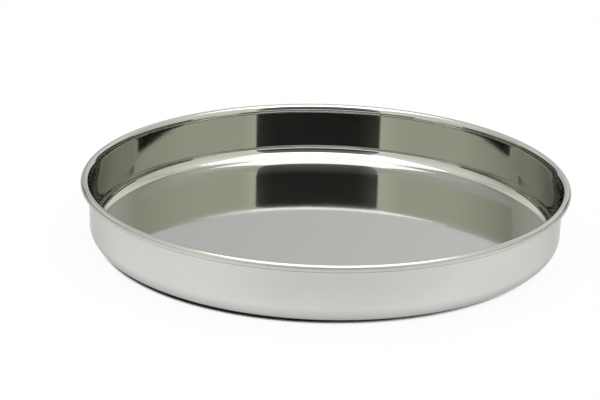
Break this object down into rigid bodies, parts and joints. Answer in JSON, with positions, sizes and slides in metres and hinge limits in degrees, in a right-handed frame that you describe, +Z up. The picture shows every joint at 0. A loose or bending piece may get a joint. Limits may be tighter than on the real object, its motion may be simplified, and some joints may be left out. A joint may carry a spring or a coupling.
{
  "type": "thali plate",
  "caption": "Round flat-bottomed steel plate with an upright wall and a flared lip rolled over a stiffening wire, for serving a whole meal.",
  "frame": {"origin": "on the table under the centre of the plate, at the bottom centre of the bounding box", "axes": "+Z up along the plate's axis of revolution; X and Y lie in the plane of the table, and the plate is the same all round"},
  "size_m": [0.3, 0.3, 0.039],
  "materials": {
    "polished_sheet": "mirror polished stainless steel with faint turning marks",
    "drawn_wire": "plain drawn steel wire, hidden in the roll"
  },
  "bodies": {
    "root": {"pressed_dish": "polished_sheet", "rim_wire": "drawn_wire"}
  },
  "joints": []
}
